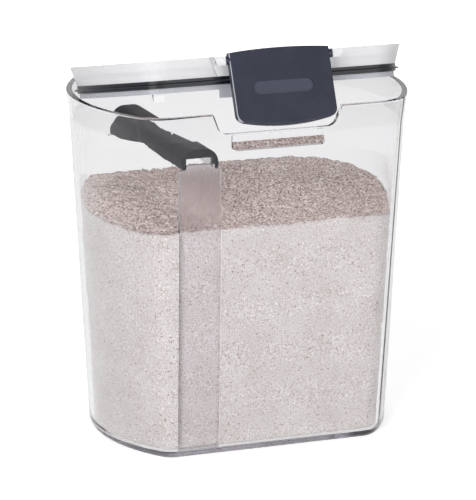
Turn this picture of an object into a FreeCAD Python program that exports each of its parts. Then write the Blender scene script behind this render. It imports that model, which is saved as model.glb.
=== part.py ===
import FreeCAD, Part
import math
import os

# A clear flour keeper: a drafted tub with a drop-in lid on a back hinge, a front latch, and a levelling bar
# that lies front to back inside. Millimetres, +Z up, the front faces -Y, and the origin is the middle of the
# base, on the surface that it stands on. The lid is stored ajar and the latch hangs loose.

# Tub: a straight front and back, round corners, and sides bowed to a radius. The rim flares on the outside
# alone, so the wall thickens towards its top edge.
BASE_WIDTH = 181.0
BASE_DEPTH = 126.8
BASE_CORNER = 15.0
BASE_SIDE_RADIUS = 95.0
NECK_WIDTH = 201.2
NECK_DEPTH = 138.8
NECK_CORNER = 21.0
NECK_SIDE_RADIUS = 110.0
RIM_HEIGHT = 210.0
RIM_BAND = 15.0
RIM_FLARE = 1.9
WALL = 2.8
FLOOR = 4.2
BASE_ROUND = 6.0
RIM_ROUND = 0.8
FOOT_WIDTH = 11.0
FOOT_RECESS = 1.0

# Notches in the front and back edges of the tub, wider than the latch's barrel
NOTCH_MARGIN = 5.0
NOTCH_SPREAD = 10.0
NOTCH_DEPTH = 12.3
NOTCH_ROUND = 6.0
NOTCH_CLEARANCE = 1.2

# Catch bar on the front wall: a flat, then a ramp out to an undercut edge
CATCH_WIDTH = 57.5
CATCH_DROP = 13.0
CATCH_FLAT = 4.0
CATCH_RAMP = 5.2
CATCH_STEP = 1.0
CATCH_REACH = 3.4
CATCH_CORNER = 2.4

# Back hinge
HINGE_SETBACK = 5.7
HINGE_DROP = 6.0
HINGE_PIN_DIAMETER = 3.0
HINGE_BARREL_DIAMETER = 8.0
HINGE_ARM_WIDTH = 44.0
HINGE_LUG_WIDTH = 7.0
HINGE_LUG_HEIGHT = 11.0
HINGE_SIDE_GAP = 0.5
PIN_CLEARANCE = 0.05

# Lid
LID_PROUD = 2.6
LID_OVERHANG = 0.35
LID_SKIRT_HEIGHT = 11.5
LID_SKIRT_LEAN = 3.45
LID_WALL = 2.2
LID_RECESS = 5.0
LID_PANEL = 2.5
LID_AJAR_DEGREES = 12.1

# Gasket and the panel that holds it
GASKET_HEIGHT = 4.6
GASKET_BAND = 4.2
GASKET_LIP_RISE = 1.4
GASKET_LIP_TIP = 0.7
GASKET_LIP_ROOT = 1.4
GASKET_LIP_DROP = 0.9
GASKET_WALL_GAP = 0.6
GASKET_SEAT_GAP = 0.2
INNER_PANEL = 3.0
INNER_PANEL_INSET = 1.2
INNER_UPSTAND = 2.0
GUIDE_TAB_WIDTH = 66.0
GUIDE_TAB_HEIGHT = 5.0
GUIDE_TAB_THICKNESS = 2.4

# Latch
LATCH_WIDTH = 62.5
LATCH_LENGTH = 43.2
LATCH_BOW = 4.0
LATCH_TOP_RISE = 1.4
LATCH_TOP_BOW = 1.5
LATCH_THICKNESS = 4.0
LATCH_CORNER = 5.0
LATCH_EDGE_ROUND = 0.9
LATCH_BARREL_DIAMETER = 5.2
LATCH_BARREL_WIDTH = 66.0
LATCH_PIN_DIAMETER = 2.4
LATCH_SIDE_GAP = 0.4
LATCH_BACK_GAP = 0.4
LATCH_CATCH_GAP = 0.5
LATCH_FLARE_DEGREES = 11.4
HOOK_WIDTH = 48.0
HOOK_REACH = 2.4
HOOK_THICKNESS = 3.0
HOOK_GAP = 0.3
PILL_WIDTH = 37.0
PILL_HEIGHT = 8.0
PILL_DEPTH = 0.6
PILL_DROP = 20.5

# Levelling bar, placed from the tub's left side
LEVELER_SIDE_ROOM = 53.6
LEVELER_WIDTH = 22.4
LEVELER_HEIGHT = 12.0
LEVELER_DROP = 20.6
LEVELER_ROUND = 8.5
LEVELER_LEG_ROUND = 1.0
LEVELER_END_GAP = 1.0
SLOT_WIDTH = 17.4
SLOT_DEPTH = 6.6
BLADE_THICKNESS = 1.0
BLADE_LEG = 6.0
BLADE_SIDE_GAP = 0.1
BLADE_END_INSET = 4.0

# Seats for the levelling bar: a pad up the front wall and a ledge on the back wall
LEDGE_HEIGHT = 4.0
SEAT_WIDTH = 25.5
SEAT_REACH = 3.0
SEAT_GAP = 0.2
TONGUE_RISE = 2.6
TONGUE_GAP = 0.3

# Flour, measured down from the rim
FLOUR_PEAK_DROP = 61.0
FLOUR_RISE = 8.0
FLOUR_PEAK_BACK = 40.0
FLOUR_WALL_GAP = 0.3

# How far cutting tools run past what they cut
OVERRUN = 5.0

AXIS_X = FreeCAD.Vector(1, 0, 0)
AXIS_Y = FreeCAD.Vector(0, 1, 0)

# Heights and widths that several pieces share
NECK_HEIGHT = RIM_HEIGHT - RIM_BAND
INNER_ROUND = BASE_ROUND - WALL
LID_TOP = RIM_HEIGHT + LID_PROUD
SKIRT_BOTTOM = LID_TOP - LID_SKIRT_HEIGHT
PANEL_UNDERSIDE = LID_TOP - LID_RECESS - LID_PANEL
GASKET_BOTTOM = SKIRT_BOTTOM - GASKET_HEIGHT
INNER_PANEL_BOTTOM = GASKET_BOTTOM - INNER_PANEL
NOTCH_BOTTOM = RIM_HEIGHT - NOTCH_DEPTH
NOTCH_BOTTOM_WIDTH = LATCH_BARREL_WIDTH + NOTCH_MARGIN
NOTCH_TOP_WIDTH = NOTCH_BOTTOM_WIDTH + NOTCH_SPREAD
CATCH_TOP = RIM_HEIGHT - CATCH_DROP
CATCH_EDGE = CATCH_TOP - CATCH_FLAT
CATCH_BOTTOM = CATCH_EDGE - CATCH_RAMP
LEVELER_OFFSET = NECK_WIDTH / 2 - LEVELER_SIDE_ROOM
LEVELER_TOP = RIM_HEIGHT - LEVELER_DROP
LEVELER_BOTTOM = LEVELER_TOP - LEVELER_HEIGHT
FLOUR_PEAK = RIM_HEIGHT - FLOUR_PEAK_DROP
FLOUR_FRONT = FLOUR_PEAK - FLOUR_RISE


def drafted_size(height):
    """Width and depth of the tub at a height, without the flare, and the radii of its corners and sides."""
    share = height / NECK_HEIGHT
    width = BASE_WIDTH + (NECK_WIDTH - BASE_WIDTH) * share
    depth = BASE_DEPTH + (NECK_DEPTH - BASE_DEPTH) * share
    corner = BASE_CORNER + (NECK_CORNER - BASE_CORNER) * share
    side = BASE_SIDE_RADIUS + (NECK_SIDE_RADIUS - BASE_SIDE_RADIUS) * share
    return width, depth, corner, side


def tub_size(height):
    """The same sizes of the tub's outside, with the flare."""
    if height <= NECK_HEIGHT:
        return drafted_size(height)
    flare = RIM_FLARE * (height - NECK_HEIGHT) / RIM_BAND
    return NECK_WIDTH + 2 * flare, NECK_DEPTH + 2 * flare, NECK_CORNER + flare, NECK_SIDE_RADIUS + flare


def half_depth(height):
    """Distance from the middle of the tub to the outside of its front or back wall."""
    return tub_size(height)[1] / 2


def outline(size, inset, height):
    """The tub's outline at a size, drawn in by an inset, at a height."""
    x = size[0] / 2 - inset
    y = size[1] / 2 - inset
    corner = size[2] - inset
    side = size[3] - inset
    turn = math.asin((y - corner) / (side - corner))
    corner_x = x - side + (side - corner) * math.cos(turn)
    quarter = math.pi / 2
    middle = (turn + quarter) / 2

    def on_corner(x_sign, y_sign, angle):
        across = corner_x + corner * math.cos(angle)
        along = y - corner + corner * math.sin(angle)
        return FreeCAD.Vector(x_sign * across, y_sign * along, height)

    edges = []
    for sign in (1, -1):
        first = [on_corner(sign, -sign, angle) for angle in (quarter, middle, turn)]
        second = [on_corner(sign, sign, angle) for angle in (turn, middle, quarter)]
        edges.append(Part.Arc(*first).toShape())
        edges.append(Part.Arc(first[-1], FreeCAD.Vector(sign * x, 0, height), second[0]).toShape())
        edges.append(Part.Arc(*second).toShape())
        edges.append(Part.LineSegment(second[-1], on_corner(-sign, sign, quarter)).toShape())
    return Part.Wire(edges)


def loft(wires):
    return Part.makeLoft(wires, True, True)


def outer_form():
    """Solid inside the tub's outer faces, from the base to the rim."""
    return loft([outline(tub_size(height), 0, height) for height in (0, NECK_HEIGHT, RIM_HEIGHT)])


def inner_form(inset, low, high):
    """Solid that follows the drafted walls at an inset, between two heights."""
    return loft([outline(drafted_size(height), inset, height) for height in (low, high)])


def round_bottom(shape, height, radius):
    """Round the edges of a shape that lie at a height."""
    return shape.makeFillet(radius, edges_at(shape, lambda point: same(point.z, height)))


def box(x_low, x_high, y_low, y_high, z_low, z_high):
    corner = FreeCAD.Vector(x_low, y_low, z_low)
    return Part.makeBox(x_high - x_low, y_high - y_low, z_high - z_low, corner)


def rod(radius, x_low, x_high, y, z):
    """Round bar along X."""
    return Part.makeCylinder(radius, x_high - x_low, FreeCAD.Vector(x_low, y, z), AXIS_X)


def side_prism(points, x_low, x_high):
    """Prism along X of an outline in Y and Z."""
    vectors = [FreeCAD.Vector(x_low, y, z) for y, z in points]
    face = Part.Face(Part.makePolygon(vectors + vectors[:1]))
    return face.extrude(AXIS_X * (x_high - x_low))


def front_prism(points, y_low, y_high):
    """Prism along Y of an outline in X and Z."""
    vectors = [FreeCAD.Vector(x, y_low, z) for x, z in points]
    face = Part.Face(Part.makePolygon(vectors + vectors[:1]))
    return face.extrude(AXIS_Y * (y_high - y_low))


def edges_at(shape, test):
    """Edges of a shape whose every vertex passes a test."""
    return [edge for edge in shape.Edges if all(test(vertex.Point) for vertex in edge.Vertexes)]


def same(first, second):
    return math.isclose(first, second, rel_tol=1e-6, abs_tol=1e-6)


def runs_along(edge, axis):
    """Whether a straight edge runs along an axis."""
    run = edge.Vertexes[-1].Point - edge.Vertexes[0].Point
    return same(abs(run.dot(axis)), run.Length)


def notch_half_width(height):
    """Half the notch's width at a height, drawn on past its top."""
    share = (height - NOTCH_BOTTOM) / NOTCH_DEPTH
    return (NOTCH_BOTTOM_WIDTH + (NOTCH_TOP_WIDTH - NOTCH_BOTTOM_WIDTH) * share) / 2


def notch_form(clearance, low, high, y_low, y_high):
    """Prism that fills the notch, less a clearance at each side."""
    top = notch_half_width(high) - clearance
    bottom = notch_half_width(low) - clearance
    return front_prism([(-bottom, low), (bottom, low), (top, high), (-top, high)], y_low, y_high)


# Hinge and latch axes, with the lid closed
HINGE_Y = half_depth(RIM_HEIGHT) + HINGE_SETBACK
HINGE_Z = RIM_HEIGHT - HINGE_DROP
HINGE_BARREL = HINGE_BARREL_DIAMETER / 2
CATCH_FRONT = half_depth(CATCH_BOTTOM) + CATCH_REACH
LATCH_BACK = CATCH_FRONT + LATCH_CATCH_GAP
LATCH_BARREL = LATCH_BARREL_DIAMETER / 2
LATCH_FRONT = -(LATCH_BACK + LATCH_THICKNESS)
LATCH_Y = LATCH_FRONT + LATCH_BARREL
LATCH_Z = LID_TOP - LATCH_BARREL
LATCH_TOP = LID_TOP + LATCH_TOP_RISE


def open_lid(shape):
    """Turn a piece of the closed lid to where it rests, ajar."""
    axis = FreeCAD.Vector(0, HINGE_Y, HINGE_Z)
    return shape.rotated(axis, -AXIS_X, LID_AJAR_DEGREES)


def flare_latch(shape):
    """Turn the hanging latch out on its own pin."""
    return shape.rotated(FreeCAD.Vector(0, LATCH_Y, LATCH_Z), -AXIS_X, LATCH_FLARE_DEGREES)


def inner_lining(reach):
    """Layer on the inside of the tub's walls, as thick as a reach."""
    return inner_form(WALL, FLOOR, RIM_HEIGHT).cut(inner_form(WALL + reach, FLOOR, RIM_HEIGHT))


def leveler_seats(gap):
    """Front pad from the floor up to the levelling bar, and the back ledge under it, grown by a gap."""
    half_width = SEAT_WIDTH / 2 + gap
    low = -LEVELER_OFFSET - half_width
    high = -LEVELER_OFFSET + half_width
    seat_top = LEVELER_BOTTOM - SEAT_GAP
    front = box(low, high, -BASE_DEPTH, 0, FLOOR, seat_top)
    back = box(low, high, 0, BASE_DEPTH, seat_top - LEDGE_HEIGHT, seat_top)
    return front.fuse(back).common(inner_lining(SEAT_REACH + gap))


def seat_tongues():
    """Tongues on the seats that go up into the bar's channel."""
    half_tongue = SLOT_WIDTH / 2 - TONGUE_GAP
    tongues = box(
        -LEVELER_OFFSET - half_tongue, -LEVELER_OFFSET + half_tongue, -BASE_DEPTH, BASE_DEPTH,
        LEVELER_BOTTOM - SEAT_GAP, LEVELER_BOTTOM + TONGUE_RISE,
    )
    return tongues.common(inner_lining(SEAT_REACH))


def hinge_lug(x_low):
    """Gusset on the back wall that carries one end of the hinge pin."""
    wall = half_depth(NOTCH_BOTTOM) - WALL / 2
    low = NOTCH_BOTTOM - HINGE_LUG_HEIGHT
    low_wall = half_depth(low) - WALL / 2
    points = [
        (wall, NOTCH_BOTTOM),
        (HINGE_Y - HINGE_BARREL, HINGE_Z),
        (HINGE_Y + HINGE_BARREL, HINGE_Z),
        (low_wall, low),
    ]
    gusset = side_prism(points, x_low, x_low + HINGE_LUG_WIDTH)
    barrel = rod(HINGE_BARREL, x_low, x_low + HINGE_LUG_WIDTH, HINGE_Y, HINGE_Z)
    return gusset.fuse(barrel)


def make_catch():
    """Bar on the front wall that the latch's hook goes under."""
    root = WALL / 2
    profile = [
        (root - half_depth(CATCH_TOP), CATCH_TOP),
        (-half_depth(CATCH_TOP) - CATCH_STEP, CATCH_TOP),
        (-half_depth(CATCH_EDGE) - CATCH_STEP, CATCH_EDGE),
        (-CATCH_FRONT, CATCH_BOTTOM),
        (root - half_depth(CATCH_BOTTOM), CATCH_BOTTOM),
    ]
    bar = side_prism(profile, -CATCH_WIDTH / 2, CATCH_WIDTH / 2)
    low_edges = edges_at(bar, lambda point: same(point.z, CATCH_BOTTOM))
    return bar.makeFillet(CATCH_CORNER, [edge for edge in low_edges if runs_along(edge, AXIS_Y)])


def make_container_body():
    outer = round_bottom(outer_form(), 0, BASE_ROUND)
    inner = round_bottom(inner_form(WALL, FLOOR, RIM_HEIGHT + OVERRUN), FLOOR, INNER_ROUND)
    shell = outer.cut(inner)
    shell = shell.makeFillet(RIM_ROUND, edges_at(shell, lambda point: same(point.z, RIM_HEIGHT)))
    recess = inner_form(FOOT_WIDTH, 0, FOOT_RECESS)
    shell = shell.cut(recess)
    reach = half_depth(RIM_HEIGHT) + OVERRUN
    notch = notch_form(0, NOTCH_BOTTOM, RIM_HEIGHT + OVERRUN, -reach, reach)
    floor_edges = edges_at(notch, lambda point: same(point.z, NOTCH_BOTTOM))
    notch = notch.makeFillet(NOTCH_ROUND, [edge for edge in floor_edges if runs_along(edge, AXIS_Y)])
    shell = shell.cut(notch)
    lug_inner = HINGE_ARM_WIDTH / 2 + HINGE_SIDE_GAP
    lugs = hinge_lug(lug_inner).fuse(hinge_lug(-lug_inner - HINGE_LUG_WIDTH))
    bore = rod(
        HINGE_PIN_DIAMETER / 2 + PIN_CLEARANCE,
        -lug_inner - HINGE_LUG_WIDTH - OVERRUN,
        lug_inner + HINGE_LUG_WIDTH + OVERRUN,
        HINGE_Y,
        HINGE_Z,
    )
    body = shell.fuse([make_catch(), lugs, leveler_seats(0), seat_tongues()])
    return body.cut(bore).removeSplitter()


def make_hinge_pin():
    half_length = HINGE_ARM_WIDTH / 2 + HINGE_SIDE_GAP + HINGE_LUG_WIDTH
    return rod(HINGE_PIN_DIAMETER / 2, -half_length, half_length, HINGE_Y, HINGE_Z)


def lid_half_depth():
    """Distance from the middle of the tub to the front or back of the lid's top edge."""
    return drafted_size(RIM_HEIGHT)[1] / 2 - WALL + LID_OVERHANG


def lid_outline(inset, height):
    """Outline of the lid at its top edge, drawn in by an inset."""
    return outline(drafted_size(RIM_HEIGHT), WALL - LID_OVERHANG + inset, height)


def lid_form(top_inset, bottom_inset, low, high):
    return loft([lid_outline(bottom_inset, low), lid_outline(top_inset, high)])


def skirt_inset(height):
    """How far the skirt's outer face has drawn in at a height."""
    return LID_SKIRT_LEAN * (LID_TOP - height) / LID_SKIRT_HEIGHT


def skirt_form(inset, low, high):
    return lid_form(skirt_inset(high) + inset, skirt_inset(low) + inset, low, high)


def latch_bay():
    """Block on the front of the lid that fills the notch, with an ear at each end of the latch's barrel."""
    back = lid_half_depth() - LID_SKIRT_LEAN
    block = notch_form(NOTCH_CLEARANCE, SKIRT_BOTTOM, LID_TOP, LATCH_FRONT, -back + LID_WALL / 2)
    room = LATCH_BARREL_WIDTH / 2 + LATCH_SIDE_GAP
    swing = math.hypot(LATCH_TOP + LATCH_TOP_BOW - LATCH_Z, LATCH_BARREL)
    face = LATCH_Y + swing + LATCH_BACK_GAP
    ahead = LATCH_FRONT - OVERRUN
    under = SKIRT_BOTTOM - OVERRUN
    latch_room = box(-room, room, ahead, face, under, LID_TOP + OVERRUN)
    under_ears = box(-NOTCH_TOP_WIDTH, NOTCH_TOP_WIDTH, ahead, face, under, LATCH_Z - LATCH_BARREL)
    pin = rod(LATCH_PIN_DIAMETER / 2 + PIN_CLEARANCE, -NOTCH_TOP_WIDTH, NOTCH_TOP_WIDTH, LATCH_Y, LATCH_Z)
    return block.cut([latch_room, under_ears, pin])


def hinge_arm():
    """Arm from the back of the lid, through the back notch, to the hinge barrel."""
    half_width = HINGE_ARM_WIDTH / 2
    root = lid_half_depth() - LID_SKIRT_LEAN
    points = [
        (root, SKIRT_BOTTOM),
        (HINGE_Y, HINGE_Z - HINGE_BARREL),
        (HINGE_Y, HINGE_Z + HINGE_BARREL),
        (root, LID_TOP - LID_RECESS),
    ]
    arm = side_prism(points, -half_width, half_width)
    barrel = rod(HINGE_BARREL, -half_width, half_width, HINGE_Y, HINGE_Z)
    bore_end = half_width + OVERRUN
    bore = rod(HINGE_PIN_DIAMETER / 2 + PIN_CLEARANCE, -bore_end, bore_end, HINGE_Y, HINGE_Z)
    return arm.fuse(barrel).cut(bore)


def make_lid_shell():
    outer = skirt_form(0, SKIRT_BOTTOM, LID_TOP)
    tray = skirt_form(LID_WALL, LID_TOP - LID_RECESS, LID_TOP)
    hollow = skirt_form(LID_WALL, SKIRT_BOTTOM, PANEL_UNDERSIDE)
    shell = outer.cut([tray, hollow])
    bay = latch_bay().cut(hollow)
    arm = hinge_arm().cut(hollow)
    shell = shell.fuse([bay, arm]).removeSplitter()
    return open_lid(shell)


def make_gasket():
    """Band round the lid's underside with a lip that slopes out and down to the tub's wall."""
    face = LID_SKIRT_LEAN
    band = lid_form(face, face, GASKET_BOTTOM, SKIRT_BOTTOM)
    hole = lid_form(face + GASKET_BAND, face + GASKET_BAND, GASKET_BOTTOM, SKIRT_BOTTOM)
    tip_low = GASKET_BOTTOM + GASKET_LIP_RISE
    tip_high = tip_low + GASKET_LIP_TIP
    root_low = tip_low + GASKET_LIP_DROP
    root_high = root_low + GASKET_LIP_ROOT
    tip_size = drafted_size(tip_low)
    tip = WALL + GASKET_WALL_GAP
    root = face + GASKET_BAND / 2
    tip_bottom = outline(tip_size, tip, tip_low)
    tip_top = outline(tip_size, tip, tip_high)
    above = loft([tip_bottom, tip_top, lid_outline(root, root_high)])
    below = loft([tip_bottom, lid_outline(root, root_low)])
    gasket = band.fuse(above.cut(below)).cut(hole).removeSplitter()
    return open_lid(gasket)


def make_lid_inner_panel():
    edge = LID_SKIRT_LEAN + INNER_PANEL_INSET
    plate = lid_form(edge, edge, INNER_PANEL_BOTTOM, GASKET_BOTTOM)
    ring = LID_SKIRT_LEAN + GASKET_BAND + GASKET_SEAT_GAP
    within = ring + INNER_UPSTAND
    upstand = lid_form(ring, ring, GASKET_BOTTOM, PANEL_UNDERSIDE)
    upstand = upstand.cut(lid_form(within, within, GASKET_BOTTOM, PANEL_UNDERSIDE))
    front = lid_half_depth() - edge
    half_width = GUIDE_TAB_WIDTH / 2
    tab = box(
        -half_width, half_width, -front, GUIDE_TAB_THICKNESS - front,
        INNER_PANEL_BOTTOM - GUIDE_TAB_HEIGHT, INNER_PANEL_BOTTOM,
    )
    return open_lid(plate.fuse([upstand, tab]).removeSplitter())


def make_latch_pin():
    half_length = notch_half_width(LATCH_Z) - NOTCH_CLEARANCE - LATCH_SIDE_GAP
    return open_lid(rod(LATCH_PIN_DIAMETER / 2, -half_length, half_length, LATCH_Y, LATCH_Z))


def make_latch():
    half_width = LATCH_WIDTH / 2
    low = LID_TOP - LATCH_LENGTH
    corners = [
        FreeCAD.Vector(-half_width, LATCH_FRONT, LATCH_TOP),
        FreeCAD.Vector(half_width, LATCH_FRONT, LATCH_TOP),
        FreeCAD.Vector(half_width, LATCH_FRONT, low + LATCH_BOW),
        FreeCAD.Vector(-half_width, LATCH_FRONT, low + LATCH_BOW),
    ]
    top = FreeCAD.Vector(0, LATCH_FRONT, LATCH_TOP + LATCH_TOP_BOW)
    bottom = FreeCAD.Vector(0, LATCH_FRONT, low)
    edges = [
        Part.Arc(corners[0], top, corners[1]).toShape(),
        Part.LineSegment(corners[1], corners[2]).toShape(),
        Part.Arc(corners[2], bottom, corners[3]).toShape(),
        Part.LineSegment(corners[3], corners[0]).toShape(),
    ]
    plate = Part.Face(Part.Wire(edges)).extrude(AXIS_Y * LATCH_THICKNESS)
    corner_edges = edges_at(plate, lambda point: same(point.z, low + LATCH_BOW))
    plate = plate.makeFillet(LATCH_CORNER, [edge for edge in corner_edges if runs_along(edge, AXIS_Y)])
    plate = plate.makeFillet(LATCH_EDGE_ROUND, edges_at(plate, lambda point: same(point.y, LATCH_FRONT)))
    barrel = rod(LATCH_BARREL, -LATCH_BARREL_WIDTH / 2, LATCH_BARREL_WIDTH / 2, LATCH_Y, LATCH_Z)
    hook_top = CATCH_BOTTOM - HOOK_GAP
    hook = box(
        -HOOK_WIDTH / 2, HOOK_WIDTH / 2, -LATCH_BACK - LATCH_THICKNESS / 2, HOOK_REACH - LATCH_BACK,
        hook_top - HOOK_THICKNESS, hook_top,
    )
    bore_radius = LATCH_PIN_DIAMETER / 2 + PIN_CLEARANCE
    bore = rod(bore_radius, -LATCH_BARREL_WIDTH, LATCH_BARREL_WIDTH, LATCH_Y, LATCH_Z)
    pill_z = LID_TOP - PILL_DROP
    pill_round = PILL_HEIGHT / 2
    pill_x = PILL_WIDTH / 2 - pill_round
    pill_back = LATCH_FRONT + PILL_DEPTH
    pill = box(-pill_x, pill_x, LATCH_FRONT - OVERRUN, pill_back, pill_z - pill_round, pill_z + pill_round)
    for x in (-pill_x, pill_x):
        centre = FreeCAD.Vector(x, LATCH_FRONT - OVERRUN, pill_z)
        pill = pill.fuse(Part.makeCylinder(pill_round, PILL_DEPTH + OVERRUN, centre, AXIS_Y))
    latch = plate.fuse([barrel, hook]).cut([bore, pill]).removeSplitter()
    return open_lid(flare_latch(latch))


def leveler_end():
    """Distance from the middle of the tub to each end of the bar, clear of the walls at its underside."""
    return half_depth(LEVELER_BOTTOM) - WALL - LEVELER_END_GAP


def make_leveler_grip():
    """Bar with an arched top and a channel along its underside between two legs."""
    end = leveler_end()
    half_width = LEVELER_WIDTH / 2
    half_slot = SLOT_WIDTH / 2
    bar = box(
        -LEVELER_OFFSET - half_width, -LEVELER_OFFSET + half_width, -end, end, LEVELER_BOTTOM, LEVELER_TOP,
    )
    top_edges = edges_at(bar, lambda point: same(point.z, LEVELER_TOP))
    bar = bar.makeFillet(LEVELER_ROUND, [edge for edge in top_edges if runs_along(edge, AXIS_Y)])
    slot = box(
        -LEVELER_OFFSET - half_slot, -LEVELER_OFFSET + half_slot, -end - OVERRUN, end + OVERRUN,
        LEVELER_BOTTOM - OVERRUN, LEVELER_BOTTOM + SLOT_DEPTH,
    )
    bar = bar.cut(slot)
    leg_edges = edges_at(bar, lambda point: same(point.z, LEVELER_BOTTOM))
    return bar.makeFillet(LEVELER_LEG_ROUND, [edge for edge in leg_edges if runs_along(edge, AXIS_Y)])


def make_leveler_blade():
    half_width = SLOT_WIDTH / 2 - BLADE_SIDE_GAP
    top = LEVELER_BOTTOM + SLOT_DEPTH - BLADE_SIDE_GAP
    end = leveler_end() - BLADE_END_INSET
    left = -LEVELER_OFFSET - half_width
    right = -LEVELER_OFFSET + half_width
    blade = box(left, right, -end, end, top - BLADE_LEG, top)
    hollow = box(
        left + BLADE_THICKNESS, right - BLADE_THICKNESS, -end - OVERRUN, end + OVERRUN,
        top - BLADE_LEG - OVERRUN, top - BLADE_THICKNESS,
    )
    return blade.cut(hollow)


def make_flour_fill():
    """Heaped fill: its top is part of a large sphere with its peak towards the back."""
    inset = WALL + FLOUR_WALL_GAP
    low = FLOOR + FLOUR_WALL_GAP
    fill = round_bottom(inner_form(inset, low, FLOUR_PEAK), low, INNER_ROUND - FLOUR_WALL_GAP)
    reach = half_depth(FLOUR_FRONT) - inset + FLOUR_PEAK_BACK
    radius = (reach ** 2 + FLOUR_RISE ** 2) / (2 * FLOUR_RISE)
    centre = FreeCAD.Vector(0, FLOUR_PEAK_BACK, FLOUR_PEAK - radius)
    fill = fill.common(Part.makeSphere(radius, centre))
    return fill.cut(leveler_seats(FLOUR_WALL_GAP))


def main():
    os.makedirs("parts", exist_ok=True)
    nodes = {
        "container_body": make_container_body(),
        "hinge_pin": make_hinge_pin(),
        "lid_shell": make_lid_shell(),
        "gasket": make_gasket(),
        "lid_inner_panel": make_lid_inner_panel(),
        "latch_pin": make_latch_pin(),
        "latch": make_latch(),
        "leveler_grip": make_leveler_grip(),
        "leveler_blade": make_leveler_blade(),
        "flour_fill": make_flour_fill(),
    }
    for name, shape in nodes.items():
        print(name, len(shape.Solids), shape.isValid(), round(shape.Volume), shape.BoundBox)
        shape.exportStep("parts/" + name + ".step")


main()
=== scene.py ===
import math

import bpy
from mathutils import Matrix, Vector, geometry, noise


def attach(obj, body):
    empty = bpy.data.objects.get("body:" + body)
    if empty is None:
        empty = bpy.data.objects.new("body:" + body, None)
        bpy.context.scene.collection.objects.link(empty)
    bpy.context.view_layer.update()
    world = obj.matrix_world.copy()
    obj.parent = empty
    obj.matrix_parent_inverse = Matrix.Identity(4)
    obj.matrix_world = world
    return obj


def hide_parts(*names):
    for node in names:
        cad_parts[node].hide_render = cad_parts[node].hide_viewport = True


# Looks of a clear flour keeper with a dark latch and levelling bar. Metres, +Z up, the front faces -Y.

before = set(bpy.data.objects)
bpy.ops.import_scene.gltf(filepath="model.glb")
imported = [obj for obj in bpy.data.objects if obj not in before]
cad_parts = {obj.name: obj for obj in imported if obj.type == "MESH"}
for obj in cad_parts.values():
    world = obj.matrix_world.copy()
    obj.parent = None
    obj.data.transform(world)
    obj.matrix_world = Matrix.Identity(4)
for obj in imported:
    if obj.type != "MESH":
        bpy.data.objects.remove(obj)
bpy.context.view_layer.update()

# Camera, at the photograph's viewing angle
CAMERA_AZIMUTH_DEGREES = -20.38
CAMERA_ELEVATION_DEGREES = 14.64
CAMERA_DISTANCE = 2.0851
CAMERA_LENS_MM = 245.73
CAMERA_TARGET_HEIGHT = 0.105
CAMERA_TARGET_RIGHT = 0.00092
CAMERA_TARGET_UP = 0.0031

# Light paths: clear plastic sends light to and fro many times
CLEAR_BOUNCES = 32
DIFFUSE_BOUNCES = 4

# Tub sizes that the flour and the tub's finish follow
BASE_WIDTH = 0.1810
BASE_DEPTH = 0.1268
BASE_CORNER = 0.015
BASE_SIDE_RADIUS = 0.095
NECK_WIDTH = 0.2012
NECK_DEPTH = 0.1388
NECK_CORNER = 0.021
NECK_SIDE_RADIUS = 0.110
NECK_HEIGHT = 0.195
WALL = 0.0028
TUB_FLOOR = 0.0042
INNER_ROUND = 0.0032
SEAT_MIDDLE = -0.047
SEAT_HALF_WIDTH = 0.01275
SEAT_REACH = 0.003

# Flour: gaps to the tub, size of its mesh and form of its top
FLOUR_SEED = 7
FLOUR_GAP = 0.0003
FLOUR_SEAT_GAP = 0.00005
LEAST_RUN_BEFORE_SEAT = 0.0005
FLOUR_GRID = 0.0007
GRID_JITTER_SHARE = 0.3
GRID_MARGIN_SHARE = 0.8
GRID_STAGGER_SHARE = 0.5
MERGE_DISTANCE = 1e-7
FLOUR_RING_STEP = 0.0020
FLOUR_FRONT_HEIGHT = 0.1395
FLOUR_BACK_HEIGHT = 0.1475
FLOUR_REFERENCE_HEIGHT = 0.144
FLOUR_SLOPE_START = -0.050
FLOUR_SLOPE_END = 0.045
FLOUR_HUMP_X = 0.030
FLOUR_HUMP_Y = 0.030
FLOUR_HUMP_RADIUS = 0.034
FLOUR_HUMP_RISE = 0.0022

# Wavelength and rise of the flour's lumps, inside and along the walls
FLOUR_LUMPS = [(0.040, 0.0018), (0.016, 0.0013), (0.0068, 0.0010), (0.0034, 0.0009), (0.0018, 0.0008)]
FLOUR_EDGE_LUMPS = [(0.030, 0.0012), (0.011, 0.0009), (0.0045, 0.0008), (0.0020, 0.0007)]

# Points on each stretch of the flour's outline, and rings round its lower edge
CORNER_COUNT = 20
SIDE_COUNT = 116
BACK_COUNT = 124
BEFORE_SEAT_COUNT = 6
SEAT_RUN_COUNT = 22
SEAT_SIDE_COUNT = 3
FRONT_COUNT = 96
ROUND_COUNT = 5

# Directions and white
UP = (0.0, 0.0, 1.0)
LEFT = (-1.0, 0.0, 0.0)
BACKWARD = (0.0, 1.0, 0.0)
WHITE = (1.0, 1.0, 1.0)

# In the values of the materials, limits are where a mask starts and where it is full
# A noise is its scale per metre, its detail and its roughness, and a bump is its strength and its height
# A roughness of two numbers is the least and the most, and a density is per metre

# Clear plastic
PLASTIC_INDEX = 1.49
SCUFF_STRETCH_SHARES = (1.0, 1.0, 0.12)
SCUFF_NOISE = (900.0, 3.0, 0.6)
SCUFF_LIMITS = (0.52, 0.75)
SCUFF_ROUGHNESS = (0.010, 0.045)
FLOW_STRETCH_SHARES = (1.0, 1.0, 0.35)
FLOW_NOISE = (26.0, 1.0, 0.4)
FLOW_BUMP = (0.05, 0.0006)
TUB_TINT = (0.32, 0.27, 0.36)
TUB_DENSITY = 7.0
LID_TINT = (0.30, 0.29, 0.32)
LID_DENSITY = 6.0
PIN_DENSITY = 20.0

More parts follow.
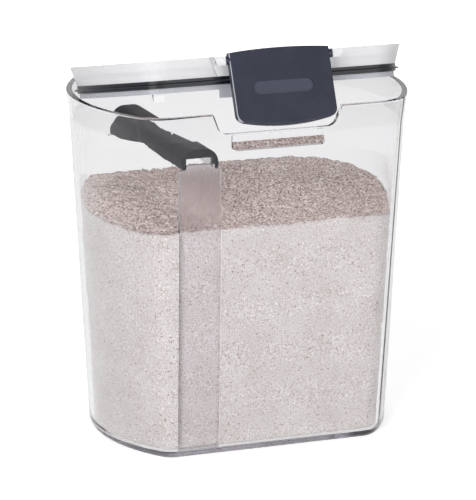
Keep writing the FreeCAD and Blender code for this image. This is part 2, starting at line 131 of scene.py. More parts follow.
# Tub: the pad under the levelling bar is frosted above the flour
PAD_ROUGHNESS = 0.24
PAD_COLOUR = (0.905, 0.88, 0.91)
PAD_SIDE_SHARE = 0.1
PAD_START_SHARES = (0.125, 0.25)
PAD_END_SHARES = (2.0, 1.5)
PAD_FROST_LIMITS = (0.139, 0.143)

# Tub: painted shade greys its top edge and the hinge lugs behind it, and its walls reflect less than its
# base
RIM_SHADE_COLOUR = (0.30, 0.28, 0.32)
RIM_LIMITS = (0.19715, 0.19740)
RIM_LEVEL_LIMITS = (0.6, 0.9)
LUG_SHADE_COLOUR = (0.86, 0.85, 0.87)
LUG_LIMITS = (0.0716, 0.0719)
WALL_SHEEN = (0.38, 0.38, 0.40)
SHEEN_LIMITS = (0.010, 0.016)

# Lid: its upright faces are milky, as it rests ajar
LID_TILT_DEGREES = 12.1
UPRIGHT_LIMITS = (0.85, 0.55)
MILK_ROUGHNESS = 0.42
SHELL_MILK_COLOUR = (0.67, 0.672, 0.678)
SHELL_CLEAR_SHARE = 0.2
PANEL_MILK_COLOUR = (0.46, 0.47, 0.51)
PANEL_CLEAR_SHARE = 0.3

# Dark plastic
DARK_CLOUD_NOISE = (60.0, 4.0, 0.6)
DARK_RAMP_SHARES = (0.3, 0.75)
MARK_STRETCH_SHARES = (1.0, 1.0, 0.2)
MARK_NOISE = (260.0, 5.0, 0.65)
GRAIN_NOISE = (6000.0, 2.0, 0.5)
GRAIN_BUMP = (0.06, 0.0001)
SWELL_NOISE = (45.0, 1.0, 0.4)
SWELL_BUMP = (0.05, 0.0005)
LATCH_COLOURS = [(0.020, 0.023, 0.038), (0.030, 0.034, 0.053)]
LATCH_SHEEN = 0.28
LATCH_ROUGHNESS = (0.28, 0.40)
GRIP_COLOURS = [(0.009, 0.008, 0.011), (0.017, 0.015, 0.018)]
GRIP_SHEEN = 0.18
GRIP_ROUGHNESS = (0.42, 0.6)

# Latch: a painted highlight lightens its left edge, and the floor of its pill-shaped recess is paler
EDGE_HIGHLIGHT_COLOUR = (0.34, 0.35, 0.39)
EDGE_LIMITS = (0.020, 0.023)
EDGE_TURN_LIMITS = (0.2, 0.4)
EDGE_SIDE_LIMITS = (0.92, 0.75)
RECESS_COLOUR = (0.050, 0.054, 0.080)
RECESS_PLACE = (0.0, -0.07883, 0.22600)
RECESS_TILT_DEGREES = 23.5
RECESS_HALF_RUN = 0.0145
RECESS_RADIUS = 0.004
RECESS_DEPTH = 0.0006
RECESS_FADE_SHARE = 0.25

# Silicone
DUST_NOISE = (320.0, 5.0, 0.65)
DUST_RAMP_SHARES = (0.35, 0.8)
SILICONE_COLOURS = [(0.008, 0.009, 0.014), (0.016, 0.017, 0.024)]
SILICONE_ROUGHNESS = (0.26, 0.42)
SILICONE_SHEEN = 0.3
SILICONE_NOISE = (1500.0, 2.0, 0.5)
SILICONE_BUMP = (0.1, 0.0001)

# Steel
BRUSH_STRETCH_SHARES = (1.0, 0.02, 1.0)
BRUSH_NOISE = (2600.0, 3.0, 0.6)
BRUSH_RAMP_SHARES = (0.3, 0.7)
BRUSH_BUMP = (0.08, 0.00008)
STEEL_COLOURS = [(0.60, 0.60, 0.61), (0.74, 0.74, 0.75)]
STEEL_ROUGHNESS = (0.2, 0.36)

# Flour, pressed to the walls and loose on top; the two tones are partly painted light and shade, set by how
# the light falls on the sides and the top
FLOUR_CLOUD_NOISE = (45.0, 4.0, 0.6)
FLOUR_RAMP_SHARES = (0.25, 0.55, 0.8)
PRESSED_LIT_COLOURS = [(0.520, 0.486, 0.478), (0.580, 0.549, 0.543), (0.628, 0.599, 0.593)]
LOOSE_SHADED_COLOURS = [(0.555, 0.445, 0.425), (0.650, 0.538, 0.515), (0.735, 0.628, 0.605)]
FINE_NOISE = (1150.0, 3.0, 0.65)
FINE_BUMP = (0.5, 0.0004)
DARK_FINE_LIMITS = (0.52, 0.70)
DARK_FINE_COLOUR = (0.34, 0.255, 0.225)
LIGHT_FINE_LIMITS = (0.44, 0.30)
LIGHT_FINE_COLOUR = (0.86, 0.84, 0.83)
CRUMB_NOISE = (700.0, 3.0, 0.7)
DARK_CRUMB_LIMITS = (0.50, 0.60)
DARK_CRUMB_COLOUR = (0.24, 0.165, 0.14)
LIGHT_CRUMB_LIMITS = (0.44, 0.34)
LIGHT_CRUMB_COLOUR = (0.86, 0.79, 0.76)
BRAN_STRETCH_SHARES = (1.0, 1.0, 1.4)
BRAN_NOISE = (620.0, 2.0, 0.5)
BRAN_LIMITS = (0.64, 0.72)
BRAN_COLOUR = (0.27, 0.17, 0.13)
CLUMP_NOISE = (480.0, 4.0, 0.65)
CLUMP_BUMP = (0.55, 0.0009)
FLOUR_ROUGHNESS = (0.85, 1.0)
FLOUR_SHEEN = 0.15

# Floor: a little glow makes it white, more so far away and less through the plastic
FLOOR_HALF = 2.0
FLOOR_CORNERS = [(-1, -1), (1, -1), (1, 1), (-1, 1)]
FLOOR_COLOUR = (0.90, 0.90, 0.90)
FLOOR_GLOW = 0.42
FLOOR_FAR_GLOW = 0.80
FLOOR_FAR_LIMITS = (0.35, 1.1)
FLOOR_THROUGH_GLOW = 0.16

# World: what is seen in and through the plastic, and the light that it gives, at eye level and overhead
SEEN_OVERHEAD = (0.16, 0.16, 0.18)
SEEN_OVERHEAD_LIMITS = (0.10, 0.60)
LIGHT_LEVEL = (0.50, 0.50, 0.51)
LIGHT_OVERHEAD = (0.28, 0.28, 0.29)
LIGHT_OVERHEAD_LIMITS = (0.0, 0.9)

# Softboxes: name, place, width, height and watts
SOFTBOX_AIM = (0.0, 0.0, 0.11)
SOFTBOXES = [
    ("key", (-1.5, -1.5, 1.1), 1.1, 1.5, 36.0),
    ("front_fill", (0.6, -2.2, 0.7), 1.4, 1.2, 16.0),
    ("top_back", (0.3, 0.9, 1.7), 1.2, 0.8, 10.0),
]


# Small helpers


def new_object(name, data):
    piece = bpy.data.objects.new(name, data)
    bpy.context.scene.collection.objects.link(piece)
    return piece


def smooth_step(low, high, value):
    share = min(1.0, max(0.0, (value - low) / (high - low)))
    return share * share * (3.0 - 2.0 * share)


def opaque(colour):
    return (*colour, 1.0)


class Nodes:
    """Short way to add and join the nodes of one material or world."""

    # Sockets of a mix node that hold its factor, its two colours and its colour result
    MIX_INPUTS = (0, 6, 7)
    MIX_RESULT = 2

    def __init__(self, tree):
        self.tree = tree
        tree.nodes.clear()

    def add(self, kind, **values):
        node = self.tree.nodes.new(kind)
        for name, value in values.items():
            setattr(node, name, value)
        return node

    def join(self, source, target):
        self.tree.links.new(source, target)

    def feed(self, source, target):
        """Set a number or a colour on a socket, or join another socket to it."""
        if isinstance(source, tuple):
            target.default_value = opaque(source)
        elif isinstance(source, (int, float)):
            target.default_value = source
        else:
            self.join(source, target)

    def position(self):
        return self.add("ShaderNodeTexCoord").outputs["Object"]

    def normal(self):
        return self.add("ShaderNodeTexCoord").outputs["Normal"]

    def stretched(self, source, shares):
        """Coordinates scaled by a different share along each axis."""
        mapping = self.add("ShaderNodeMapping")
        mapping.inputs["Scale"].default_value = shares
        self.join(source, mapping.inputs["Vector"])
        return mapping.outputs["Vector"]

    def noise(self, source, scale, detail, roughness):
        texture = self.add("ShaderNodeTexNoise")
        texture.inputs["Scale"].default_value = scale
        texture.inputs["Detail"].default_value = detail
        texture.inputs["Roughness"].default_value = roughness
        self.join(source, texture.inputs["Vector"])
        return texture.outputs["Fac"]

    def ramp(self, source, shares, colours):
        """Colour ramp through one colour at each share."""
        node = self.add("ShaderNodeValToRGB")
        elements = node.color_ramp.elements
        while len(elements) < len(shares):
            elements.new(shares[1])
        for element, share, colour in zip(elements, shares, colours):
            element.position = share
            element.color = opaque(colour)
        self.join(source, node.inputs["Fac"])
        return node.outputs["Color"]

    def spread(self, source, low, high):
        """Map a 0 to 1 value to a range."""
        node = self.add("ShaderNodeMapRange")
        node.inputs["To Min"].default_value = low
        node.inputs["To Max"].default_value = high
        self.join(source, node.inputs["Value"])
        return node.outputs["Result"]

    def window(self, source, start, full):
        """0 up to one limit, 1 from the other on, and smooth between them."""
        node = self.add("ShaderNodeMapRange", interpolation_type="SMOOTHSTEP")
        node.inputs["From Min"].default_value = start
        node.inputs["From Max"].default_value = full
        self.join(source, node.inputs["Value"])
        return node.outputs["Result"]

    def math(self, operation, *sources):
        node = self.add("ShaderNodeMath", operation=operation)
        for source, target in zip(sources, node.inputs):
            self.feed(source, target)
        return node.outputs["Value"]

    def vector_math(self, operation, source, vector=None, result="Vector"):
        node = self.add("ShaderNodeVectorMath", operation=operation)
        self.join(source, node.inputs[0])
        if vector is not None:
            node.inputs[1].default_value = vector
        return node.outputs[result]

    def dot(self, source, direction):
        """How far coordinates reach along a direction."""
        return self.vector_math("DOT_PRODUCT", source, direction, "Value")

    def length(self, source):
        return self.vector_math("LENGTH", source, result="Value")

    def mix_colour(self, factor, first, second):
        node = self.add("ShaderNodeMix", data_type="RGBA")
        for index, source in zip(self.MIX_INPUTS, (factor, first, second)):
            self.feed(source, node.inputs[index])
        return node.outputs[self.MIX_RESULT]

    def bump(self, height, strength, distance, under=None):
        node = self.add("ShaderNodeBump")
        node.inputs["Strength"].default_value = strength
        node.inputs["Distance"].default_value = distance
        self.join(height, node.inputs["Height"])
        if under is not None:
            self.join(under, node.inputs["Normal"])
        return node.outputs["Normal"]

    def seen_through(self, path):
        """1 for what is seen in a reflection or through the plastic, and 0 for the rest."""
        return self.math("MAXIMUM", path.outputs["Is Glossy Ray"], path.outputs["Is Transmission Ray"])

    def show(self, surface, volume=None):
        """Join a material's surface, and its volume if it has one, to the output."""
        output = self.add("ShaderNodeOutputMaterial")
        self.join(surface, output.inputs["Surface"])
        if volume is not None:
            self.join(volume, output.inputs["Volume"])


def new_material(name):
    material = bpy.data.materials.new(name)
    material.use_nodes = True
    return material, Nodes(material.node_tree)


def dress(node_name, material):
    """Give a CAD node a material."""
    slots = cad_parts[node_name].data.materials
    for index in range(len(slots)):
        slots[index] = material


# Clear plastic


def clear_plastic(name, tint, density, finish=None):
    """Moulded clear plastic with faint flow waves and fine scuffs, greyer where it is thick.

    A finish changes the shader in some places, and gives the roughness to add there.
    """
    material, nodes = new_material(name)
    position = nodes.position()
    shader = nodes.add("ShaderNodeBsdfPrincipled")
    shader.inputs["Base Color"].default_value = opaque(WHITE)
    shader.inputs["Transmission Weight"].default_value = 1.0
    shader.inputs["IOR"].default_value = PLASTIC_INDEX
    scuffs = nodes.noise(nodes.stretched(position, SCUFF_STRETCH_SHARES), *SCUFF_NOISE)
    roughness = nodes.spread(nodes.window(scuffs, *SCUFF_LIMITS), *SCUFF_ROUGHNESS)
    if finish is not None:
        roughness = nodes.math("ADD", roughness, finish(nodes, position, shader))
    nodes.join(roughness, shader.inputs["Roughness"])
    waves = nodes.noise(nodes.stretched(position, FLOW_STRETCH_SHARES), *FLOW_NOISE)
    nodes.join(nodes.bump(waves, *FLOW_BUMP), shader.inputs["Normal"])

    # Shadow rays and diffuse rays pass straight through
    clear = nodes.add("ShaderNodeBsdfTransparent")
    path = nodes.add("ShaderNodeLightPath")
    passes = nodes.math("MAXIMUM", path.outputs["Is Shadow Ray"], path.outputs["Is Diffuse Ray"])
    mix = nodes.add("ShaderNodeMixShader")
    nodes.join(passes, mix.inputs["Fac"])
    nodes.join(shader.outputs["BSDF"], mix.inputs[1])
    nodes.join(clear.outputs["BSDF"], mix.inputs[2])
    absorb = nodes.add("ShaderNodeVolumeAbsorption")
    absorb.inputs["Color"].default_value = opaque(tint)
    absorb.inputs["Density"].default_value = density
    nodes.show(mix.outputs["Shader"], absorb.outputs["Volume"])
    return material


def pad_masks(nodes, position):
    """1 on the inside of the pad under the levelling bar, and 1 above the flour; 0 elsewhere."""
    axes = nodes.add("ShaderNodeSeparateXYZ")
    nodes.join(position, axes.inputs["Vector"])
    across = nodes.math("ABSOLUTE", nodes.math("SUBTRACT", axes.outputs["X"], SEAT_MIDDLE))
    in_width = nodes.window(across, SEAT_HALF_WIDTH + SEAT_REACH * PAD_SIDE_SHARE, SEAT_HALF_WIDTH)
    slope = (NECK_DEPTH - BASE_DEPTH) / 2 / NECK_HEIGHT
    wall = nodes.math("MULTIPLY_ADD", axes.outputs["Z"], slope, BASE_DEPTH / 2 - WALL)
    depth = nodes.math("ADD", wall, axes.outputs["Y"])
    off_wall = nodes.window(depth, *(SEAT_REACH * share for share in PAD_START_SHARES))
    near_wall = nodes.window(depth, *(SEAT_REACH * share for share in PAD_END_SHARES))
    inside = nodes.math("MULTIPLY", off_wall, near_wall)
    above_flour = nodes.window(axes.outputs["Z"], *PAD_FROST_LIMITS)
    return nodes.math("MULTIPLY", in_width, inside), above_flour


def rim_shade_mask(nodes, position):
    """1 on the flat top edge of the tub, which light hardly leaves and which is greyed as painted shade, and
    0 elsewhere.
    """
    level = nodes.window(nodes.dot(nodes.normal(), UP), *RIM_LEVEL_LIMITS)
    return nodes.math("MULTIPLY", level, nodes.window(nodes.dot(position, UP), *RIM_LIMITS))


def tub_finish(nodes, position, shader):
    """Finish of the tub: its pad, the painted shade on its lugs and top edge, and its walls."""
    on_pad, above_flour = pad_masks(nodes, position)
    base = nodes.mix_colour(on_pad, WHITE, PAD_COLOUR)
    # Painted shade: the hinge lugs behind the back wall are greyed so that they look less bright
    behind = nodes.window(nodes.dot(position, BACKWARD), *LUG_LIMITS)
    base = nodes.mix_colour(behind, base, LUG_SHADE_COLOUR)
    # Painted shade: the flat top edge is greyed so that it shows as a dark line
    base = nodes.mix_colour(rim_shade_mask(nodes, position), base, RIM_SHADE_COLOUR)
    nodes.join(base, shader.inputs["Base Color"])
    above_base = nodes.window(nodes.dot(position, UP), *SHEEN_LIMITS)
    nodes.join(nodes.mix_colour(above_base, WHITE, WALL_SHEEN), shader.inputs["Specular Tint"])
    return nodes.math("MULTIPLY", nodes.math("MULTIPLY", on_pad, above_flour), PAD_ROUGHNESS)


def lid_finish(colour, clear_share):
    """Finish of a lid piece, whose upright faces are milky and let a share of the light through."""
    tilt = math.radians(LID_TILT_DEGREES)
    lid_up = (0.0, math.sin(tilt), math.cos(tilt))

    def finish(nodes, _position, shader):
        along_up = nodes.math("ABSOLUTE", nodes.dot(nodes.normal(), lid_up))
        milky = nodes.window(along_up, *UPRIGHT_LIMITS)
        nodes.join(nodes.spread(milky, 1.0, clear_share), shader.inputs["Transmission Weight"])
        nodes.join(nodes.mix_colour(milky, WHITE, colour), shader.inputs["Base Color"])
        return nodes.math("MULTIPLY", milky, MILK_ROUGHNESS)

    return finish


# Dark plastic


def dark_plastic(name, colours, sheen, roughness, finish=None):
    """Satin moulded plastic with a fine grain and faint handling marks; a finish recolours some places."""
    material, nodes = new_material(name)
    position = nodes.position()
    shader = nodes.add("ShaderNodeBsdfPrincipled")
    base = nodes.ramp(nodes.noise(position, *DARK_CLOUD_NOISE), DARK_RAMP_SHARES, colours)
    if finish is not None:
        base = finish(nodes, position, base)
    nodes.join(base, shader.inputs["Base Color"])
    marks = nodes.noise(nodes.stretched(position, MARK_STRETCH_SHARES), *MARK_NOISE)
    nodes.join(nodes.spread(marks, *roughness), shader.inputs["Roughness"])
    shader.inputs["Specular IOR Level"].default_value = sheen
    swell = nodes.bump(nodes.noise(position, *SWELL_NOISE), *SWELL_BUMP)
    grain = nodes.bump(nodes.noise(position, *GRAIN_NOISE), *GRAIN_BUMP, swell)
    nodes.join(grain, shader.inputs["Normal"])
    nodes.show(shader.outputs["BSDF"])
    return material


def left_edge_highlight_mask(nodes, position):
    """1 on the latch's rounded left edge, where the highlight is painted, and 0 elsewhere."""
    leftward = nodes.dot(nodes.normal(), LEFT)
    turned = nodes.window(leftward, *EDGE_TURN_LIMITS)
    rounded = nodes.math("MULTIPLY", turned, nodes.window(leftward, *EDGE_SIDE_LIMITS))
    return nodes.math("MULTIPLY", rounded, nodes.window(nodes.dot(position, LEFT), *EDGE_LIMITS))


def recess_mask(nodes, position):
    """1 on the floor of the latch's pill-shaped recess, as the latch rests, and 0 elsewhere."""
    tilt = math.radians(RECESS_TILT_DEGREES)
    offset = nodes.vector_math("SUBTRACT", position, RECESS_PLACE)
    across = nodes.math("ABSOLUTE", nodes.dot(offset, LEFT))
    across = nodes.math("MAXIMUM", nodes.math("SUBTRACT", across, RECESS_HALF_RUN), 0.0)
    reach = nodes.add("ShaderNodeCombineXYZ")
    nodes.join(across, reach.inputs["X"])
    nodes.join(nodes.dot(offset, (0.0, math.sin(tilt), math.cos(tilt))), reach.inputs["Y"])
    fade = RECESS_DEPTH * RECESS_FADE_SHARE
    inside = nodes.window(nodes.length(reach.outputs["Vector"]), RECESS_RADIUS, RECESS_RADIUS - fade)
    outward = nodes.dot(offset, (0.0, -math.cos(tilt), math.sin(tilt)))
    return nodes.math("MULTIPLY", inside, nodes.window(outward, RECESS_DEPTH, fade))


def latch_finish(nodes, position, base):
    """Finish of the latch: its paler recess, and the painted highlight on its left edge."""
    base = nodes.mix_colour(recess_mask(nodes, position), base, RECESS_COLOUR)
    # Painted highlight along the latch's left edge
    return nodes.mix_colour(left_edge_highlight_mask(nodes, position), base, EDGE_HIGHLIGHT_COLOUR)


# Silicone, steel and flour


def soft_silicone(name):
    """Matt silicone with a little dust and a soft sheen."""
    material, nodes = new_material(name)
    position = nodes.position()
    shader = nodes.add("ShaderNodeBsdfPrincipled")
    dust = nodes.noise(position, *DUST_NOISE)
    nodes.join(nodes.ramp(dust, DUST_RAMP_SHARES, SILICONE_COLOURS), shader.inputs["Base Color"])
    nodes.join(nodes.spread(dust, *SILICONE_ROUGHNESS), shader.inputs["Roughness"])
    shader.inputs["Specular IOR Level"].default_value = SILICONE_SHEEN
    nodes.join(nodes.bump(nodes.noise(position, *SILICONE_NOISE), *SILICONE_BUMP), shader.inputs["Normal"])
    nodes.show(shader.outputs["BSDF"])
    return material


def brushed_steel(name):
    """Steel strip, brushed along its length."""
    material, nodes = new_material(name)
    shader = nodes.add("ShaderNodeBsdfPrincipled")
    shader.inputs["Metallic"].default_value = 1.0
    lines = nodes.noise(nodes.stretched(nodes.position(), BRUSH_STRETCH_SHARES), *BRUSH_NOISE)
    nodes.join(nodes.ramp(lines, BRUSH_RAMP_SHARES, STEEL_COLOURS), shader.inputs["Base Color"])
    nodes.join(nodes.spread(lines, *STEEL_ROUGHNESS), shader.inputs["Roughness"])
    nodes.join(nodes.bump(lines, *BRUSH_BUMP), shader.inputs["Normal"])
    nodes.show(shader.outputs["BSDF"])
    return material


def wholemeal_flour(name):
    """Pale flour with a powdery grain and specks of bran; the loose top is crumbly, and the tones of top and
    sides are partly painted light and shade.
    """
    material, nodes = new_material(name)
    position = nodes.position()
    shader = nodes.add("ShaderNodeBsdfPrincipled")
    top = nodes.add("ShaderNodeAttribute", attribute_name="flour_top").outputs["Fac"]
    cloud = nodes.noise(position, *FLOUR_CLOUD_NOISE)
    # Pressed sides and loose top each get a tone, partly painted light on the sides and painted shade on the
    # top
    pressed_lit = nodes.ramp(cloud, FLOUR_RAMP_SHARES, PRESSED_LIT_COLOURS)
    loose_shaded = nodes.ramp(cloud, FLOUR_RAMP_SHARES, LOOSE_SHADED_COLOURS)
    base = nodes.mix_colour(top, pressed_lit, loose_shaded)
    fine = nodes.noise(position, *FINE_NOISE)
    base = nodes.mix_colour(nodes.window(fine, *DARK_FINE_LIMITS), base, DARK_FINE_COLOUR)
    base = nodes.mix_colour(nodes.window(fine, *LIGHT_FINE_LIMITS), base, LIGHT_FINE_COLOUR)
    crumbs = nodes.noise(position, *CRUMB_NOISE)
    dark_crumbs = nodes.math("MULTIPLY", top, nodes.window(crumbs, *DARK_CRUMB_LIMITS))
    base = nodes.mix_colour(dark_crumbs, base, DARK_CRUMB_COLOUR)
    light_crumbs = nodes.math("MULTIPLY", top, nodes.window(crumbs, *LIGHT_CRUMB_LIMITS))
    base = nodes.mix_colour(light_crumbs, base, LIGHT_CRUMB_COLOUR)
    bran = nodes.noise(nodes.stretched(position, BRAN_STRETCH_SHARES), *BRAN_NOISE)
    base = nodes.mix_colour(nodes.window(bran, *BRAN_LIMITS), base, BRAN_COLOUR)
    nodes.join(base, shader.inputs["Base Color"])
    nodes.join(nodes.spread(fine, *FLOUR_ROUGHNESS), shader.inputs["Roughness"])
    shader.inputs["Specular IOR Level"].default_value = FLOUR_SHEEN
    clumps = nodes.bump(nodes.noise(position, *CLUMP_NOISE), *CLUMP_BUMP)
    nodes.join(nodes.bump(fine, *FINE_BUMP, clumps), shader.inputs["Normal"])
    nodes.show(shader.outputs["BSDF"])
    return material


# Form of the flour


def tub_half_sizes(height, inset):
    """Half width, half depth, corner radius and side radius of the tub at a height, drawn in by an inset."""
    share = height / NECK_HEIGHT
    half_width = (BASE_WIDTH + (NECK_WIDTH - BASE_WIDTH) * share) / 2 - inset
    half_depth = (BASE_DEPTH + (NECK_DEPTH - BASE_DEPTH) * share) / 2 - inset
    corner = BASE_CORNER + (NECK_CORNER - BASE_CORNER) * share - inset
    side = BASE_SIDE_RADIUS + (NECK_SIDE_RADIUS - BASE_SIDE_RADIUS) * share - inset
    return half_width, half_depth, corner, side


def corner_place(sizes):
    """Angle where a side's arc meets a corner's arc, and the x of the corner's middle."""
    half_width, half_depth, corner, side = sizes
    turn = math.asin((half_depth - corner) / (side - corner))
    return turn, half_width - side + (side - corner) * math.cos(turn)


def depth_at(x, sizes):
    """Half depth of the outline at an x, or none outside it."""
    half_width, half_depth, corner, side = sizes
    turn, corner_x = corner_place(sizes)
    across = abs(x)
    if across <= corner_x:
        return half_depth
    if across >= half_width:
        return None
    if across <= corner_x + corner * math.cos(turn):
        return half_depth - corner + math.sqrt(corner ** 2 - (across - corner_x) ** 2)
    return math.sqrt(side ** 2 - (across - half_width + side) ** 2)


def run(first, last, count):
    """Points from first up to, but not at, last."""
    return [first.lerp(last, index / count) for index in range(count)]


def arc(middle, radius, start, end, count):
    """Points on an arc between two angles, up to but not at the second."""
    points = []
    for index in range(count):
        angle = start + (end - start) * index / count
        points.append(middle + radius * Vector((math.cos(angle), math.sin(angle))))
    return points


def flour_outline(height, extra_inset=0.0):
    """Points round the flour at a height, a gap in from the walls and from the seat on the front wall."""
    wall = tub_half_sizes(height, WALL + FLOUR_GAP + extra_inset)
    seat = tub_half_sizes(height, WALL + SEAT_REACH + FLOUR_GAP + extra_inset)
    half_width, half_depth, corner, side = wall
    turn, corner_x = corner_place(wall)
    quarter = math.pi / 2
    seat_left = SEAT_MIDDLE - SEAT_HALF_WIDTH - FLOUR_SEAT_GAP
    seat_right = SEAT_MIDDLE + SEAT_HALF_WIDTH + FLOUR_SEAT_GAP
    corner_end = min(-corner_x, seat_left - LEAST_RUN_BEFORE_SEAT)
    last_angle = 3 * quarter - math.asin((-corner_end - corner_x) / corner)
    corner_y = half_depth - corner
    side_x = half_width - side

    def wall_point(x):
        return Vector((x, -depth_at(x, wall)))

    def seat_point(x):
        return Vector((x, -depth_at(x, seat)))

    points = arc(Vector((corner_x, -corner_y)), corner, -quarter, -turn, CORNER_COUNT)
    points += arc(Vector((side_x, 0.0)), side, -turn, turn, SIDE_COUNT)
    points += arc(Vector((corner_x, corner_y)), corner, turn, quarter, CORNER_COUNT)
    points += run(Vector((corner_x, half_depth)), Vector((-corner_x, half_depth)), BACK_COUNT)
    points += arc(Vector((-corner_x, corner_y)), corner, quarter, 2 * quarter - turn, CORNER_COUNT)
    points += arc(Vector((-side_x, 0.0)), side, 2 * quarter - turn, 2 * quarter + turn, SIDE_COUNT)
    points += arc(Vector((-corner_x, -corner_y)), corner, 2 * quarter + turn, last_angle, CORNER_COUNT)
    points += run(wall_point(corner_end), wall_point(seat_left), BEFORE_SEAT_COUNT)
    points += run(wall_point(seat_left), seat_point(seat_left), SEAT_SIDE_COUNT)
    points += run(seat_point(seat_left), seat_point(seat_right), SEAT_RUN_COUNT)
    points += run(seat_point(seat_right), wall_point(seat_right), SEAT_SIDE_COUNT)
    points += run(wall_point(seat_right), wall_point(corner_x), FRONT_COUNT)
    return points


def layered_noise(point, wavelengths_and_rises):
    """Sum of smooth noise at several wavelengths."""
    total = 0.0
    for wavelength, rise in wavelengths_and_rises:
        total += rise * noise.noise(point / wavelength)
    return total


def flour_height(x, y, lumps):
    """Height of the flour's top: higher at the back, with a low hump, lumpy all over."""
    rise = smooth_step(FLOUR_SLOPE_START, FLOUR_SLOPE_END, y)
    height = FLOUR_FRONT_HEIGHT + (FLOUR_BACK_HEIGHT - FLOUR_FRONT_HEIGHT) * rise
    from_hump = math.hypot(x - FLOUR_HUMP_X, y - FLOUR_HUMP_Y) / FLOUR_HUMP_RADIUS
    height += FLOUR_HUMP_RISE * math.exp(-from_hump ** 2)
    return height + layered_noise(Vector((x, y, 0.0)), lumps)


def flour_plan(outline):
    """The outline's points, then a jittered grid of points inside it."""
    inset = WALL + FLOUR_GAP
    half_width, half_depth, _, _ = tub_half_sizes(FLOUR_REFERENCE_HEIGHT, inset)
    plan = [point.copy() for point in outline]
    columns = int(2 * half_width / FLOUR_GRID)
    rows = int(2 * half_depth / FLOUR_GRID)
    margin = FLOUR_GRID * GRID_MARGIN_SHARE
    wall_sizes = tub_half_sizes(FLOUR_REFERENCE_HEIGHT, inset + margin)
    seat_sizes = tub_half_sizes(FLOUR_REFERENCE_HEIGHT, inset + SEAT_REACH + margin)
    for row in range(rows):
        stagger_share = GRID_STAGGER_SHARE * (row % 2)
        for column in range(columns):
            shift = noise.random_unit_vector(size=2)
            x = -half_width + FLOUR_GRID * (column + stagger_share + GRID_JITTER_SHARE * shift[0])
            y = -half_depth + FLOUR_GRID * (row + GRID_JITTER_SHARE * shift[1])
            by_seat = y < 0 and abs(x - SEAT_MIDDLE) < SEAT_HALF_WIDTH + FLOUR_GAP + margin
            depth = depth_at(x, seat_sizes if by_seat else wall_sizes)
            if depth is not None and abs(y) < depth:
                plan.append(Vector((x, y)))
    return plan


def make_flour():
    """Flour that fills the tub to its walls, as one closed mesh, with a mark on the points of its top."""
    low_height = TUB_FLOOR + FLOUR_GAP
    bottom_round = INNER_ROUND - FLOUR_GAP
    straight_low = low_height + bottom_round
    reference = flour_outline(FLOUR_REFERENCE_HEIGHT)
    low_outline = flour_outline(straight_low)
    count = len(reference)
    inside_only = 1
    found = geometry.delaunay_2d_cdt(
        flour_plan(reference), [], [list(range(count))], inside_only, MERGE_DISTANCE
    )
    flat, triangles = found[0], found[2]

    def on_wall(index, height):
        share = (height - straight_low) / (FLOUR_REFERENCE_HEIGHT - straight_low)
        point = low_outline[index].lerp(reference[index], share)
        return point.x, point.y, height

    vertices = []
    for index, point in enumerate(flat):
        on_edge = index < count
        height = flour_height(point.x, point.y, FLOUR_EDGE_LUMPS if on_edge else FLOUR_LUMPS)
        vertices.append(on_wall(index, height) if on_edge else (point.x, point.y, height))
    faces = [tuple(face) for face in triangles]
    top_count = len(vertices)

    # Sides, ring by ring from the top down, then round under
    tops = [vertices[index][2] for index in range(count)]
    ring_count = int((FLOUR_FRONT_HEIGHT - straight_low) / FLOUR_RING_STEP)
    rings = []
    for step in range(1, ring_count + 1):
        up_share = 1.0 - step / ring_count
        heights = [straight_low + (top - straight_low) * up_share for top in tops]
        rings.append([on_wall(index, height) for index, height in enumerate(heights)])
    for step in range(1, ROUND_COUNT + 1):
        angle = math.pi / 2 * step / ROUND_COUNT
        height = straight_low - bottom_round * math.sin(angle)
        outline = flour_outline(height, bottom_round * (1.0 - math.cos(angle)))
        rings.append([(point.x, point.y, height) for point in outline])
    above = list(range(count))
    for ring in rings:
        below = [len(vertices) + index for index in range(count)]
        vertices += ring
        for index in range(count):
            following = (index + 1) % count
            faces.append((above[index], below[index], below[following], above[following]))
        above = below
    faces.append(tuple(reversed(above)))

    mesh = bpy.data.meshes.new("flour_heap")
    mesh.from_pydata(vertices, [], faces)
    mesh.update()
    mark = mesh.attributes.new("flour_top", "FLOAT", "POINT")
    for index in range(count, top_count):
        mark.data[index].value = 1.0
    for polygon in mesh.polygons:
        polygon.use_smooth = True
    return new_object("flour_heap", mesh)


noise.seed_set(FLOUR_SEED)
flour = make_flour()
flour.data.materials.append(wholemeal_flour("flour_wholemeal"))
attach(flour, "tub")
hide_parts("flour_fill")

# Dress the CAD pieces
shell_finish = lid_finish(SHELL_MILK_COLOUR, SHELL_CLEAR_SHARE)
panel_finish = lid_finish(PANEL_MILK_COLOUR, PANEL_CLEAR_SHARE)
pin_plastic = clear_plastic("pin_plastic", LID_TINT, PIN_DENSITY)
dress("container_body", clear_plastic("tub_clear_plastic", TUB_TINT, TUB_DENSITY, tub_finish))
dress("lid_shell", clear_plastic("lid_plastic", LID_TINT, LID_DENSITY, shell_finish))
dress("lid_inner_panel", clear_plastic("panel_plastic", LID_TINT, LID_DENSITY, panel_finish))
dress("hinge_pin", pin_plastic)
dress("latch_pin", pin_plastic)
dress("latch", dark_plastic("latch_plastic", LATCH_COLOURS, LATCH_SHEEN, LATCH_ROUGHNESS, latch_finish))
dress("leveler_grip", dark_plastic("grip_plastic", GRIP_COLOURS, GRIP_SHEEN, GRIP_ROUGHNESS))
dress("gasket", soft_silicone("gasket_silicone"))
dress("leveler_blade", brushed_steel("blade_steel"))


# Stage


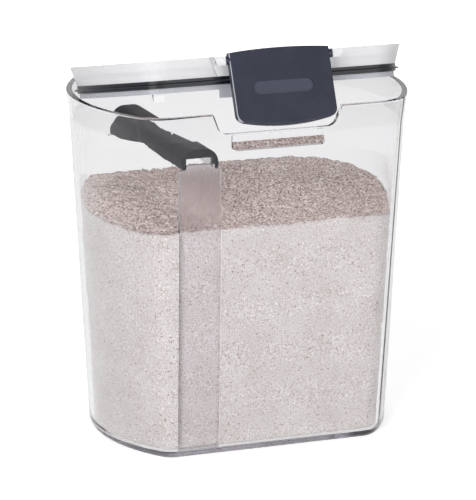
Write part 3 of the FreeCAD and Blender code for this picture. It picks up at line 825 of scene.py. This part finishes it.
def floor_white(name):
    """White floor with a glow of its own."""
    material, nodes = new_material(name)
    diffuse = nodes.add("ShaderNodeBsdfDiffuse")
    diffuse.inputs["Color"].default_value = opaque(FLOOR_COLOUR)
    glow = nodes.add("ShaderNodeEmission")
    glow.inputs["Color"].default_value = opaque(WHITE)
    path = nodes.add("ShaderNodeLightPath")
    away = nodes.window(nodes.length(nodes.position()), *FLOOR_FAR_LIMITS)
    direct = nodes.spread(away, FLOOR_GLOW, FLOOR_FAR_GLOW)
    seen = nodes.math("MULTIPLY", path.outputs["Is Camera Ray"], direct)
    through = nodes.math("MULTIPLY", nodes.seen_through(path), FLOOR_THROUGH_GLOW)
    nodes.join(nodes.math("ADD", seen, through), glow.inputs["Strength"])
    total = nodes.add("ShaderNodeAddShader")
    nodes.join(diffuse.outputs["BSDF"], total.inputs[0])
    nodes.join(glow.outputs["Emission"], total.inputs[1])
    nodes.show(total.outputs["Shader"])
    return material


def make_floor():
    mesh = bpy.data.meshes.new("floor")
    corners = [(x * FLOOR_HALF, y * FLOOR_HALF, 0.0) for x, y in FLOOR_CORNERS]
    mesh.from_pydata(corners, [], [tuple(range(len(corners)))])
    mesh.materials.append(floor_white("floor_white"))
    floor = new_object("floor", mesh)


def make_world():
    """White where the camera sees it, and otherwise darker overhead."""
    world = bpy.data.worlds.new("studio")
    bpy.context.scene.world = world
    world.use_nodes = True
    nodes = Nodes(world.node_tree)
    path = nodes.add("ShaderNodeLightPath")
    height = nodes.dot(nodes.add("ShaderNodeTexCoord").outputs["Generated"], UP)
    seen = nodes.mix_colour(nodes.window(height, *SEEN_OVERHEAD_LIMITS), WHITE, SEEN_OVERHEAD)
    light = nodes.mix_colour(nodes.window(height, *LIGHT_OVERHEAD_LIMITS), LIGHT_LEVEL, LIGHT_OVERHEAD)
    colour = nodes.mix_colour(nodes.seen_through(path), light, seen)
    colour = nodes.mix_colour(path.outputs["Is Camera Ray"], colour, WHITE)
    background = nodes.add("ShaderNodeBackground")
    nodes.join(colour, background.inputs["Color"])
    output = nodes.add("ShaderNodeOutputWorld")
    nodes.join(background.outputs["Background"], output.inputs["Surface"])


def add_softbox(name, place, width, height, power):
    lamp = bpy.data.lights.new(name, "AREA")
    lamp.shape = "RECTANGLE"
    lamp.size = width
    lamp.size_y = height
    lamp.energy = power
    holder = new_object(name, lamp)
    holder.location = place
    holder.rotation_euler = (Vector(SOFTBOX_AIM) - Vector(place)).to_track_quat("-Z", "Y").to_euler()


def make_camera():
    azimuth = math.radians(CAMERA_AZIMUTH_DEGREES)
    elevation = math.radians(CAMERA_ELEVATION_DEGREES)
    back = Vector((
        math.sin(azimuth) * math.cos(elevation),
        -math.cos(azimuth) * math.cos(elevation),
        math.sin(elevation),
    ))
    right = Vector((math.cos(azimuth), math.sin(azimuth), 0.0))
    up = back.cross(right)
    target = Vector((0.0, 0.0, CAMERA_TARGET_HEIGHT)) + right * CAMERA_TARGET_RIGHT + up * CAMERA_TARGET_UP
    data = bpy.data.cameras.new("camera")
    data.lens = CAMERA_LENS_MM
    camera = new_object("camera", data)
    camera.location = target + back * CAMERA_DISTANCE
    camera.rotation_mode = "QUATERNION"
    camera.rotation_quaternion = (-back).to_track_quat("-Z", "Y")
    bpy.context.scene.camera = camera


make_floor()
make_world()
for softbox in SOFTBOXES:
    add_softbox(*softbox)
make_camera()

scene = bpy.context.scene
scene.view_settings.view_transform = "Standard"
scene.cycles.max_bounces = CLEAR_BOUNCES
scene.cycles.transmission_bounces = CLEAR_BOUNCES
scene.cycles.transparent_max_bounces = CLEAR_BOUNCES
scene.cycles.glossy_bounces = CLEAR_BOUNCES
scene.cycles.diffuse_bounces = DIFFUSE_BOUNCES

bpy.context.view_layer.update()
